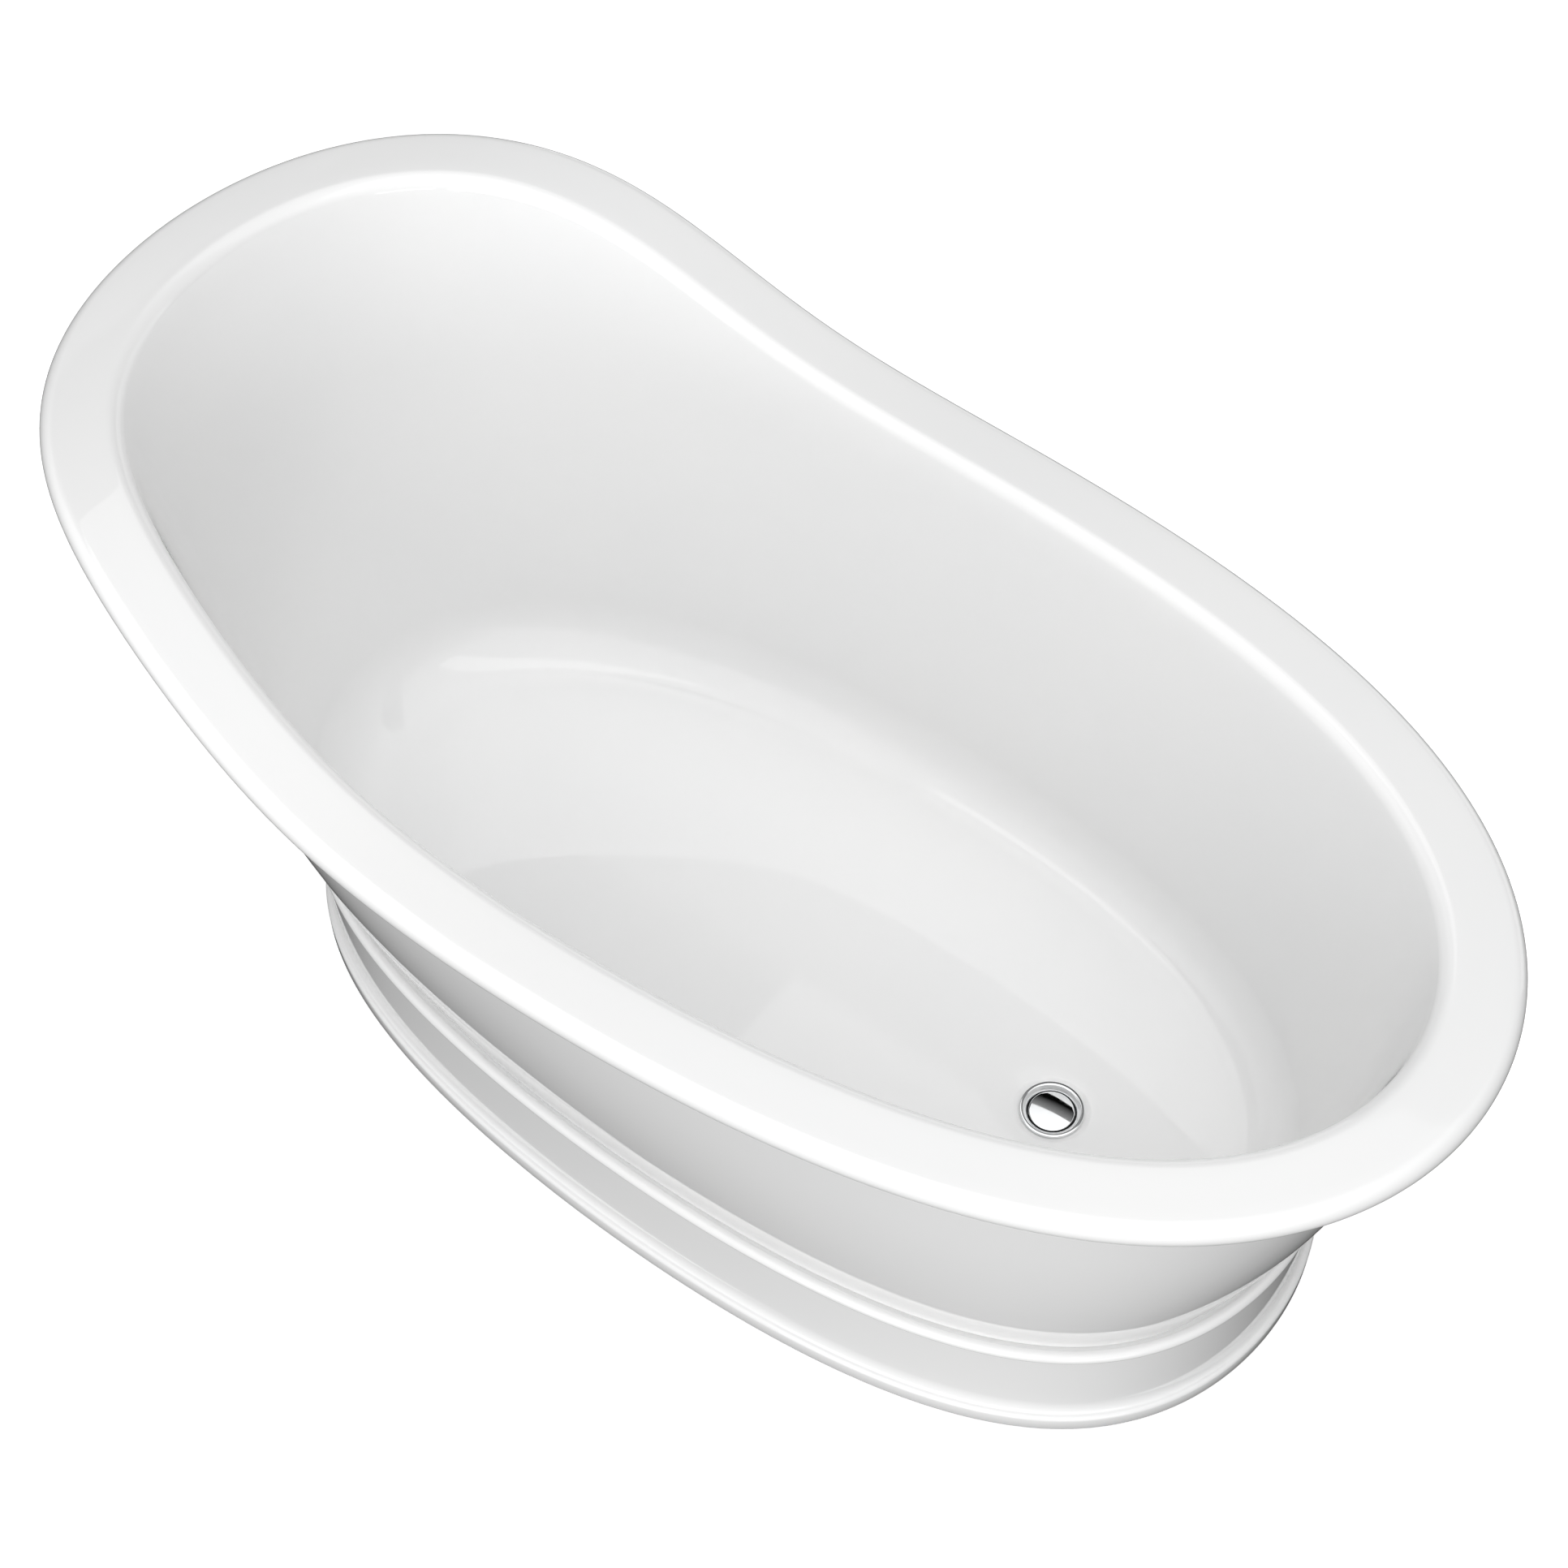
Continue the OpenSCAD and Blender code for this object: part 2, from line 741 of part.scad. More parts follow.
basin();
apron();
plinth();
rim_batten();
base_board();
rail(1);  // rail_left
rail(-1);  // rail_right
crossbar(0);  // crossbar_head
crossbar(1);  // crossbar_middle
crossbar(2);  // crossbar_foot
rivet_nuts();
frame_bolts();
board_screws();
plinth_brackets();
bracket_screws();
foot_weld_nuts();
foot_lock_nuts();
foot_stud(0);  // foot_stud_head_left
foot_pad(0);  // foot_pad_head_left
foot_stud(1);  // foot_stud_head_right
foot_pad(1);  // foot_pad_head_right
foot_stud(2);  // foot_stud_middle
foot_pad(2);  // foot_pad_middle
foot_stud(3);  // foot_stud_foot_left
foot_pad(3);  // foot_pad_foot_left
foot_stud(4);  // foot_stud_foot_right
foot_pad(4);  // foot_pad_foot_right
flange_gasket();
waste_flange();
waste_seal();
friction_washer();
back_nut();
cartridge_body();
cartridge_cap();
plug_spring();
plug_stem();
plug_seal();
plug_cap();
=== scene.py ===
"""Looks of a freestanding slipper bathtub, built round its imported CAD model.

Metres, in the CAD frame: +X to the foot end with the waste, -X to the raised
back, +Z up, the floor at zero. The acrylic shells, the waste, the plug, the feet
and the screws are remade here as fine meshes from the same rules as the CAD solids,
and stand for them. The frame, the board and the rest are the CAD solids themselves.
"""

import json
import math

import bpy
import numpy as np
from mathutils import Matrix, Vector


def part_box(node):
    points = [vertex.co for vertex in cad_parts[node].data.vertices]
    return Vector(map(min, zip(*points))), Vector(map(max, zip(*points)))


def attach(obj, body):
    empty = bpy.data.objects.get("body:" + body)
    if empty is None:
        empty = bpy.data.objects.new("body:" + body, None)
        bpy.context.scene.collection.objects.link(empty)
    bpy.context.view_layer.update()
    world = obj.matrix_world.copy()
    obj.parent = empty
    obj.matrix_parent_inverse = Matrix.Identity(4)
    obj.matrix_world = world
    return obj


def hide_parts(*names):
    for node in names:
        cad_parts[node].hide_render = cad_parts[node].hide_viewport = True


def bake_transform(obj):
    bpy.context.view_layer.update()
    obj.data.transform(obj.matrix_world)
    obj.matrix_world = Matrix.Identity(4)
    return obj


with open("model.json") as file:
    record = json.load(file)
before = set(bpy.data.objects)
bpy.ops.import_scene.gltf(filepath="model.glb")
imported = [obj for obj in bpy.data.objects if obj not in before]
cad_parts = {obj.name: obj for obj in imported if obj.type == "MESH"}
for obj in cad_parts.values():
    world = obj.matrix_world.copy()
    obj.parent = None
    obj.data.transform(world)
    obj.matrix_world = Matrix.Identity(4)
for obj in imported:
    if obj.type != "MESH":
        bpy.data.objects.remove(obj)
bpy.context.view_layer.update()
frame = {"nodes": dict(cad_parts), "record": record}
nodes = frame["nodes"]

# ------------------------------------------------------------------ dimensions

STATIONS = 384

# Rim
rim_low, rim_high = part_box("basin")
half_length = (rim_high.x - rim_low.x) / 2
half_width = 0.442
low_height = 0.5735
back_rise = 0.186
foot_fall = 0.016
sweep_x = 0.394
sweep_length = 0.188
rim_width = 0.079
roll_r = 0.0155
lip_r = 0.014

# Basin
floor_z = 0.1425
floor_t = 0.007
wall_t = 0.0045
cove_leg = 0.050
back_cove = 0.022

# Apron
apron_inset = 0.060
apron_bulge = 1.8
apron_t = 0.0035
bond_gap = 0.0005

# Plinth
ledge_z = 0.148
ledge_inset = 0.0185
ledge_depth = 0.027
ledge_t = 0.005
bead_r = 0.007
bead_inset = 0.0095
skin_inset = 0.015
plinth_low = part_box("plinth")[0].z

# Ovals: half-length, half-width, centre x, then what makes them differ from an
# ellipse: fuller ends, fuller sides, width moved to the foot end, shoulders
RIM_OVAL = (half_length, half_width, 0.0, 0.007, 0.054, -0.038, -0.008)
FLOOR_OVAL = (0.602, 0.314, 0.024, 0.005, 0.03, 0.0, 0.0)
BASE_OVAL = (0.6355, 0.343, 0.038, 0.024, 0.039, 0.02, 0.0)

# Waste
flange_low, flange_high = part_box("waste_flange")
waste_x = (flange_low.x + flange_high.x) / 2
flange_r = (flange_high.x - flange_low.x) / 2
flange_z = flange_high.z - 0.003
plug_seat_z = flange_z - 0.005
cross_z = plug_seat_z - 0.038
tail_end = flange_low.z
dish_r = 0.043
dish_depth = 0.002
seat_r = 0.036
floor_hole_r = 0.028
barrel_r = 0.0255
tail_r = 0.0239
bore_fit = 0.00001
throat_r = 0.0205
hub_r = 0.008
spigot_r = 0.004

# Frame and fasteners
stud_r = 0.006
nut_flats = 0.019
nut_bore_r = 0.00606
tube_t = 0.002
board_screw_xs = (-0.330, -0.110, 0.150, 0.300)

# Stage: the panel over the tub, whose head and far edges have black cloths beside them
over_z = 3.14
over_head_x = -1.2
over_foot_x = 3.2
over_near_y = -3.39
over_far_y = 1.65

# ------------------------------------------------------------------- mesh help


def angles(count=STATIONS):
    return np.arange(count) * (2 * math.pi / count)


def skin(rows, capped=False):
    """Points and faces of a closed skin through rows of points, each once round.

    The rows go up the outside. An uncapped skin comes back down the inside to its
    first row, and a capped one ends in a flat at each end.
    """
    count = len(rows[0])
    last = len(rows) - 1
    faces = []
    for i in range(last if capped else last + 1):
        k = (i + 1) % len(rows)
        for j in range(count):
            n = (j + 1) % count
            faces.append((i * count + j, i * count + n, k * count + n, k * count + j))
    if capped:
        faces.append(tuple(range(count - 1, -1, -1)))
        faces.append(tuple(range(last * count, last * count + count)))
    return np.concatenate(rows), faces


def moved(shape, x=0.0, y=0.0, z=0.0):
    points, faces = shape
    return points + np.array([x, y, z]), faces


def joined(shapes):
    points, faces, start = [], [], 0
    for p, f in shapes:
        points.append(p)
        faces += [tuple(i + start for i in face) for face in f]
        start += len(p)
    return np.concatenate(points), faces


def add_piece(name, shape, body, slot, replaced=(), sharp=35.0):
    """Makes a smooth-shaded piece with sharp edges where faces meet steeply."""
    points, faces = shape
    mesh = bpy.data.meshes.new(name)
    mesh.from_pydata([tuple(p) for p in points], [], faces)
    mesh.validate()
    mesh.shade_smooth()
    mesh.set_sharp_from_angle(angle=math.radians(sharp))
    piece = bpy.data.objects.new(name, mesh)
    bpy.context.scene.collection.objects.link(piece)
    piece.data.materials.append(FINISHES[slot])
    if body:
        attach(piece, body)
    if replaced:
        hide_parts(*replaced)
    return piece


def arc(r, z, radius, start, end, steps):
    """Points of a (radius, height) profile along an arc, in degrees."""
    return [
        (r + radius * math.cos(math.radians(s)), z + radius * math.sin(math.radians(s)))
        for s in np.linspace(start, end, steps + 1)
    ]


def round_row(count, r, z):
    a = angles(count)
    return np.column_stack([r * np.cos(a), r * np.sin(a), np.full(count, z)])


def turned(count, profile):
    """Rows of a (radius, height) profile turned about the vertical axis."""
    return [round_row(count, r, z) for r, z in profile]


def hex_row(count, flats, cap_r, z):
    """One row round a hexagon whose corners are turned down to radius cap_r."""
    a = angles(count)
    r = np.minimum(flats / 2 / np.cos(a % (math.pi / 3) - math.pi / 6), cap_r)
    return np.column_stack([r * np.cos(a), r * np.sin(a), np.full(count, z)])


def hex_rows(count, flats, low, high):
    """Rows up a hexagonal head or nut with turned corners at both ends."""
    corner_r = flats / math.sqrt(3)
    face_r = flats * 0.475
    chamfer = (corner_r - face_r) * 0.55
    return [
        hex_row(count, flats, face_r, low),
        hex_row(count, flats, corner_r, low + chamfer),
        hex_row(count, flats, corner_r, high - chamfer),
        hex_row(count, flats, face_r, high),
    ]


def thread_rows(count, r, pitch, depth, low, high):
    """Rows up a right-hand screw thread that runs out at both ends."""
    per_turn = 6
    a = angles(count)
    rows = []
    for z in np.linspace(low, high, round((high - low) / pitch * per_turn) + 1):
        ridge = np.abs(2 * ((z / pitch - a / (2 * math.pi)) % 1) - 1)
        crest = np.clip(1.3 * ridge, 0, 1)
        radius = r - depth * (1 - crest) * np.clip(min(z - low, high - z) / pitch, 0, 1)
        rows.append(np.column_stack([radius * np.cos(a), radius * np.sin(a), np.full(count, z)]))
    return rows


# -------------------------------------------------------------------- outlines


def oval(a, o, inset=0.0):
    """Points on an oval at angles a, moved inwards along the outline's normal."""
    length, width, centre, ends, sides, bias, shoulders = o
    x = centre + length * (np.cos(a) + ends * (np.cos(a) - np.cos(3 * a)))
    y = width * (
        np.sin(a) + sides * (np.sin(a) + np.sin(3 * a)) + bias * np.sin(2 * a) + shoulders * np.sin(4 * a)
    )
    dx = -length * (np.sin(a) + ends * (np.sin(a) - 3 * np.sin(3 * a)))
    dy = width * (
        np.cos(a)
        + sides * (np.cos(a) + 3 * np.cos(3 * a))
        + 2 * bias * np.cos(2 * a)
        + 4 * shoulders * np.cos(4 * a)
    )
    n = np.hypot(dx, dy)
    return x - inset * dy / n, y + inset * dx / n


def rim_height(x):
    """Height of the top of the rim at x: a sweep up to the back."""
    sweep = back_rise / (1 + np.exp(2 * (x + sweep_x) / sweep_length))
    fall = foot_fall * ((1 + x / half_length) / 2) ** 2
    return low_height + foot_fall / 4 + sweep - fall


def rim_row(a, inset, drop):
    x, y = oval(a, RIM_OVAL, inset)
    return np.stack([x, y, rim_height(x) - drop], 1)


def level_row(a, o, inset, z):
    x, y = oval(a, o, inset)
    return np.stack([x, y, np.full_like(x, z)], 1)


def step_to(c, b, d):
    """Rows of points at distance d from c towards b."""
    way = b - c
    return c + way * (np.reshape(d, (-1, 1)) / np.linalg.norm(way, axis=1, keepdims=True))


def corner(start, c, end, steps):
    """Rows along the quarter curve from start to end that rounds the corner c."""
    out = []
    for i in range(steps + 1):
        s = math.pi / 2 * i / steps
        out.append(c + (start - c) * (1 - math.sin(s)) + (end - c) * (1 - math.cos(s)))
    return out


def between(start, end, steps):
    """Rows strictly between two rows."""
    return [start + (end - start) * i / steps for i in range(1, steps)]


def cove(a):
    return cove_leg + back_cove * ((1 - np.cos(a)) / 2) ** 2


# ------------------------------------------------------------------ the shells


def basin_side(a, t, drop, roll_n, deck_n, lip_n, wall_n, cove_n):
    """Rows from the end of the roll over the rim and down to the edge of the floor."""
    r = roll_r - t
    c = rim_row(a, rim_width - t, t)
    deck = rim_row(a, rim_width - lip_r, t)
    k = level_row(a, FLOOR_OVAL, -t, floor_z - drop)
    edge = level_row(a, FLOOR_OVAL, cove(a), floor_z - drop)
    rows = []
    for i in range(roll_n + 1):
        s = math.pi * (i / roll_n - 0.5)
        rows.append(rim_row(a, roll_r - r * math.cos(s), roll_r - r * math.sin(s)))
    for i in range(1, deck_n):
        rows.append(rim_row(a, roll_r + (rim_width - lip_r - roll_r) * i / deck_n, t))
    lip_end = step_to(c, k, lip_r - t)
    cove_start = step_to(k, c, cove(a) + t)
    rows += corner(deck, c, lip_end, lip_n)
    rows += between(lip_end, cove_start, wall_n)
    rows += corner(cove_start, k, edge, cove_n)
    return rows


def circle_row(toward, r, z):
    """A circle about the waste whose points face the points of another row."""
    b = np.arctan2(toward[:, 1], toward[:, 0] - waste_x)
    return np.stack([waste_x + r * np.cos(b), r * np.sin(b), np.full_like(b, z)], 1)


def make_basin():
    a = angles()
    bathing = basin_side(a, 0.0, 0.0, roll_n=28, deck_n=5, lip_n=12, wall_n=22, cove_n=20)
    edge = bathing[-1]
    dish_top = circle_row(edge, dish_r, floor_z)
    bathing += between(edge, dish_top, 14)
    dish_steps = 8
    for i in range(dish_steps + 1):
        q = i / dish_steps
        blend = (1 - math.cos(math.pi * q)) / 2
        bathing.append(circle_row(edge, dish_r + (seat_r - dish_r) * q, floor_z - dish_depth * blend))
    bathing.append(circle_row(edge, floor_hole_r, floor_z - dish_depth))
    hidden = basin_side(a, wall_t, floor_t, roll_n=12, deck_n=2, lip_n=4, wall_n=6, cove_n=8)
    hidden.append(circle_row(hidden[-1], floor_hole_r, floor_z - floor_t))
    rows = hidden[::-1] + bathing
    add_piece("basin_shell", skin(rows), "tub", "white_acrylic", ["basin"])


def apron_side(a, t, wall_n, turn_n):
    low = level_row(a, BASE_OVAL, ledge_inset + t, ledge_z)
    top = rim_row(a, apron_inset + t, 2 * roll_r - t)
    turn = rim_row(a, apron_inset + t - lip_r, 2 * roll_r - t)
    rows = []
    for i in range(wall_n + 1):
        q = i / wall_n
        g = 1 - (1 - q) ** apron_bulge
        across = low[:, :2] + (top[:, :2] - low[:, :2]) * g
        up = low[:, 2] + (top[:, 2] - low[:, 2]) * q
        rows.append(np.column_stack([across, up]))
    wall_top = rows.pop()
    bend = step_to(wall_top, rows[-1 - wall_n // 12], lip_r)
    while np.min(bend[:, 2] - rows[-1][:, 2]) < 0.001:
        rows.pop()
    return rows + corner(bend, top, turn, turn_n)


def make_apron():
    a = angles()
    outer = apron_side(a, 0.0, wall_n=48, turn_n=8)
    inner = apron_side(a, apron_t, wall_n=16, turn_n=4)
    flange = roll_r + bond_gap
    end = [rim_row(a, flange, 2 * roll_r), rim_row(a, flange, 2 * roll_r - apron_t)]
    rows = outer + end + inner[::-1]
    add_piece("apron_shell", skin(rows), "tub", "white_acrylic", ["apron"])


def plinth_profile():
    """The plinth's section as (inset, height), from the foot up and back down inside."""
    foot_top = 0.019
    shoulder_r = 0.005
    flare_in = 0.005
    flare_top = 0.042
    chamfer = 0.002
    points = [(chamfer, plinth_low), (0.0006, plinth_low + 0.0006), (0.0, plinth_low + chamfer)]
    for s in np.linspace(0, 90, 9):
        t = math.radians(s)
        points.append((shoulder_r * (1 - math.cos(t)), foot_top + shoulder_r * math.sin(t)))
    rise = flare_top - foot_top - shoulder_r
    for s in np.linspace(10, 90, 9):
        t = math.radians(s)
        height = foot_top + shoulder_r + rise * (1 - math.cos(t))
        points.append((shoulder_r + flare_in * math.sin(t), height))
    bead_z = ledge_z + bead_r / 2 - bead_r
    for s in np.linspace(-60, 120, 19):
        t = math.radians(s)
        points.append((bead_inset - bead_r * math.cos(t), bead_z + bead_r * math.sin(t)))
    points += [
        (0.0145, ledge_z + 0.0006),
        (0.016, ledge_z),
        (ledge_depth, ledge_z),
        (ledge_depth, ledge_z - ledge_t),
        (skin_inset, ledge_z - ledge_t),
        (skin_inset, plinth_low),
    ]
    return points


def make_plinth():
    a = angles()
    rows = [level_row(a, BASE_OVAL, inset, z) for inset, z in plinth_profile()]
    add_piece("plinth_skirt", skin(rows), "tub", "white_acrylic", ["plinth"])


# ------------------------------------------------------------------- the waste


def centre_of(node):
    low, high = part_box(node)
    return (low.x + high.x) / 2, (low.y + high.y) / 2


def flange_profile(seat, end, step):
    """Flange, cup and barrel as (radius, height above the gasket), up outside and down inside."""
    cup_r = 0.0275
    lip = 0.0012
    top = flange_high.z - flange_z
    return (
        [(barrel_r - 0.0008, step), (barrel_r, step + 0.0008), (barrel_r, seat - 0.001)]
        + [(cup_r, seat - 0.001), (cup_r, 0.0), (flange_r - 0.0008, 0.0)]
        + arc(flange_r - 0.0006, 0.0006, 0.0006, -70, 0, 4)
        + arc(flange_r - lip, top - lip, lip, 0, 90, 8)
        + arc(flange_r - 0.0034, top - 0.0014, 0.0014, 90, 132, 5)
        + [(0.0285, 0.0013), (0.0272, -0.0003), (0.0263, -0.0018), (0.0258, -0.0028)]
        + [(0.0257, seat + 0.0014)]
        + arc(0.0249, seat + 0.0008, 0.0008, 0, -90, 4)
        + arc(throat_r + 0.0008, seat - 0.0008, 0.0008, 90, 180, 4)
        + [(throat_r, end + 0.0006), (throat_r + 0.0006, end)]
    )


def make_waste():
    """Flange with its threaded tail, and the cross inside that holds the cartridge."""
    count = 144
    pitch, depth = 0.002309, 0.0012
    seat = plug_seat_z - flange_z
    end = tail_end - flange_z
    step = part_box("back_nut")[0].z - flange_z
    rows = [round_row(count, tail_r - 0.001, end)]
    rows += thread_rows(count, tail_r, pitch, depth, end + 0.0008, step)
    rows += turned(count, flange_profile(seat, end, step))
    cup = moved(skin(rows), waste_x, 0, flange_z)
    add_piece("waste_flange_cup", cup, "tub", "chrome", ["waste_flange"], 32)
    hub_h, edge = 0.005, 0.0004
    hub = [(spigot_r, 0.0), (hub_r, 0.0), (hub_r, hub_h - edge)]
    hub += [(hub_r - edge, hub_h), (spigot_r, hub_h)]
    cross = [skin(turned(48, hub))]
    for turn in range(4):
        cross.append(spoke(turn * math.pi / 2, hub_h))
    add_piece("waste_cross", moved(joined(cross), waste_x, 0, cross_z), "tub", "chrome")


def spoke(turn, height):
    """A radial bar with a rounded top, from the hub into the throat wall."""
    half_w = 0.0015
    section = [(-half_w, 0.0), (half_w, 0.0)] + arc(0.0, height - half_w, half_w, 0, 180, 6)
    rows = [np.array([(x, y, z) for y, z in section]) for x in (hub_r - 0.0008, throat_r + 0.0006)]
    points, faces = skin(rows, True)
    c, s = math.cos(turn), math.sin(turn)
    return points @ np.array([[c, s, 0], [-s, c, 0], [0, 0, 1]]), faces


def make_plug():
    """Slightly domed cap with a turned edge, and the boss that takes the stem."""
    low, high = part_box("plug_cap")
    r = (high.x - low.x) / 2
    boss_r, boss_h = 0.006, 0.004
    edge_h = 0.0016
    edge_z = low.z + boss_h
    rise = high.z - edge_z - edge_h
    dome_r = (r * r + rise * rise) / (2 * rise)
    turn_r = 0.0009
    slope = math.asin((r - turn_r) / dome_r)
    turn_z = high.z - dome_r * (1 - math.cos(slope)) - turn_r
    profile = (
        [(boss_r - 0.0004, low.z), (boss_r, low.z + 0.0004), (boss_r, edge_z)]
        + arc(r - 0.0005, edge_z + 0.0005, 0.0005, -90, 0, 4)
        + arc(r - turn_r, turn_z, turn_r, 0, 90 - math.degrees(slope), 10)
        + arc(0.0, high.z - dome_r, dome_r, 90 - math.degrees(slope) + 0.3, 89.9, 22)
    )
    dome = moved(skin(turned(192, profile), True), waste_x)
    add_piece("plug_dome", dome, "plug", "chrome", ["plug_cap"], 40)


def make_seal_ring(name, node, body, bore_r, round_r):
    """A rubber ring whose outer edge is rounded."""
    low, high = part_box(node)
    r = (high.x - low.x) / 2 - round_r
    chamfer = 0.0003
    profile = (
        [(bore_r + chamfer, low.z)]
        + arc(r, low.z + round_r, round_r, -90, 0, 5)
        + arc(r, high.z - round_r, round_r, 0, 90, 5)
        + [(bore_r + chamfer, high.z), (bore_r, high.z - chamfer), (bore_r, low.z + chamfer)]
    )
    add_piece(name, moved(skin(turned(96, profile)), waste_x), body, "rubber", [node])


def make_back_nut():
    low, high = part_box("back_nut")
    nut = nut_shape(144, high.y - low.y, barrel_r + bore_fit, low.z, high.z)
    add_piece("back_nut_hex", moved(nut, waste_x), "tub", "chrome", ["back_nut"])


def make_spring():
    """A wire coil with closed ends."""
    low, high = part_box("plug_spring")
    wire = 0.0004
    coil_r = (high.x - low.x) / 2 - wire
    turns, per_turn, sides = 6, 28, 10
    rise = high.z - low.z - 2 * wire
    b = angles(sides)
    rows = []
    for i in range(turns * per_turn + 1):
        turn = i / per_turn
        climb = np.clip((turn - 0.9) / (turns - 1.8), 0, 1)
        r = coil_r + wire * np.cos(b)
        x = r * math.cos(2 * math.pi * turn)
        y = r * math.sin(2 * math.pi * turn)
        rows.append(np.column_stack([x, y, low.z + wire + rise * climb + wire * np.sin(b)]))
    wound = moved(skin(rows[::-1], True), waste_x)
    coil = add_piece("plug_coil", wound, None, "zinc_steel", ["plug_spring"])
    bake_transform(coil)


# ---------------------------------------------------------- feet and fasteners


def make_screw_feet():
    prefix = "screw_foot_"
    for body in frame["record"]["behaviour"]["bodies"]:
        if body.startswith(prefix):
            make_screw_foot(body, body[len(prefix):])


def make_screw_foot(body, place):
    """Threaded stud with a hexagonal collar, and its ribbed rubber pad."""
    count = 24
    collar_low, collar_high = 0.022, 0.029
    x, y = centre_of("foot_stud_" + place)
    low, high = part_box("foot_stud_" + place)
    rows = turned(count, [(stud_r - 0.0004, low.z), (stud_r, low.z + 0.0004), (stud_r, collar_low)])
    rows += hex_rows(count, nut_flats, collar_low, collar_high)
    rows += thread_rows(count, stud_r, 0.00175, 0.00095, collar_high, high.z - 0.001)
    rows.append(round_row(count, stud_r - 0.001, high.z))
    stud = moved(skin(rows, True), x, y)
    add_piece("screw_stud_" + place, stud, body, "zinc_steel", ["foot_stud_" + place])
    pad = skin(turned(72, pad_profile("foot_pad_" + place, low.z)))
    add_piece("rubber_pad_" + place, moved(pad, x, y), body, "rubber", ["foot_pad_" + place])


def pad_profile(node, socket_z):
    """A pad with ribs underneath and a rounded rim, hollow above socket_z for the stud."""
    low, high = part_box(node)
    r = (high.x - low.x) / 2
    groove, slope = 0.0007, 0.0004
    ribs = [(0.0005, groove)]
    for centre in np.arange(0.004, 0.0205, 0.004):
        ribs += [(centre - 0.0012, groove), (centre - 0.0012 + slope, 0.0)]
        ribs += [(centre + 0.0012 - slope, 0.0), (centre + 0.0012, groove)]
    return (
        ribs
        + [(r - 0.0028, groove), (r - 0.0028 + slope, 0.0)]
        + arc(r - 0.0015, 0.0015, 0.0015, -90, 0, 5)
        + arc(r - 0.0015, 0.0038, 0.0015, 0, 50, 4)
        + arc(0.0118, high.z - 0.0012, 0.0012, 50, 90, 3)
        + [(stud_r + 0.0006, high.z), (stud_r, high.z - 0.0006)]
        + [(stud_r, socket_z + 0.0002), (0.0005, socket_z)]
    )


def nut_shape(count, flats, bore_r, low, high):
    chamfer = 0.0006
    rows = hex_rows(count, flats, low, high)
    rows += turned(count, [(bore_r + chamfer, high), (bore_r, high - chamfer)])
    rows += turned(count, [(bore_r, low + chamfer), (bore_r + chamfer, low)])
    return skin(rows)


def bolt_shape(flats, r, head_low, head_high, end):
    """Hexagon bolt with its head down, threaded over its upper half."""
    count = 24
    middle = (head_high + end) / 2
    rows = hex_rows(count, flats, head_low, head_high)
    rows += turned(count, [(r, head_high), (r, middle - 0.0005)])
    rows += thread_rows(count, r, 0.00125, 0.0006, middle, end - 0.0008)
    rows.append(round_row(count, r - 0.0008, end))
    return skin(rows, True)


def screw_shape(head_r, head_h, r, end):
    """Pan-head screw standing on its head at zero, with a six-sided socket in the head."""
    count = 24
    socket = head_r * 0.75
    rows = [hex_row(count, socket, socket, head_h * 0.6), hex_row(count, socket, socket, 0.0)]
    rows += turned(count, [(head_r * 0.76, 0.0), (head_r * 0.92, head_h * 0.18), (head_r, head_h * 0.5)])
    rows += turned(count, [(head_r, head_h), (r, head_h), (r, head_h + 0.001)])
    rows += thread_rows(count, r, 0.0013, r * 0.22, head_h + 0.0015, end - 0.001)
    rows.append(round_row(count, r * 0.6, end))
    return skin(rows, True)


def turned_over(shape, z):
    """The shape standing on its other end, with its zero at height z."""
    points, faces = shape
    return points * np.array([1, -1, -1]) + np.array([0, 0, z]), faces


def add_set(name, node, shape, places):
    """One piece made of the same shape at each place."""
    add_piece(name, joined([moved(shape, *place) for place in places]), "tub", "zinc_steel", [node])


def make_fasteners():
    bars = ["crossbar_head", "crossbar_middle", "crossbar_foot"]
    rail_y = centre_of("rail_left")[1]
    feet = [centre_of(node) for node in sorted(nodes) if node.startswith("foot_stud_")]
    low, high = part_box("frame_bolts")
    bolt = bolt_shape(0.013, 0.004, low.z, low.z + 0.005, high.z)
    places = [(centre_of(bar)[0], side * rail_y) for bar in bars for side in (-1, 1)]
    add_set("frame_bolt_set", "frame_bolts", bolt, places)
    for name, node in (("weld_nut_set", "foot_weld_nuts"), ("lock_nut_set", "foot_lock_nuts")):
        low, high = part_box(node)
        add_set(name, node, nut_shape(48, nut_flats, nut_bore_r, low.z, high.z), feet)
    low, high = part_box("board_screws")
    screw = moved(screw_shape(0.005, 0.003, 0.00225, high.z - low.z), 0, 0, low.z)
    places = [(x, side * rail_y) for x in board_screw_xs for side in (-1, 1)]
    add_set("board_screw_set", "board_screws", screw, places)
    make_bracket_screws(bars)


def make_bracket_screws(bars):
    """A screw down into each end of each bar, and one up into the ledge beyond it."""
    head_r, head_h, r = 0.0045, 0.003, 0.0025
    low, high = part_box("bracket_screws")
    bar_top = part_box(bars[0])[1].z
    down_end = bar_top - tube_t
    down_head = bar_top + 0.003 + head_h
    down = turned_over(screw_shape(head_r, head_h, r, down_head - down_end), down_head)
    up_head = ledge_z - ledge_t - 0.003 - head_h
    up = moved(screw_shape(head_r, head_h, r, high.z - up_head), 0, 0, up_head)
    screws = []
    for bar in bars:
        x = centre_of(bar)[0]
        end_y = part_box(bar)[1].y
        for side in (-1, 1):
            screws.append(moved(down, x, side * (end_y - 0.011)))
            screws.append(moved(up, x, side * (end_y + 0.008)))
    add_piece("bracket_screw_set", joined(screws), "tub", "zinc_steel", ["bracket_screws"])


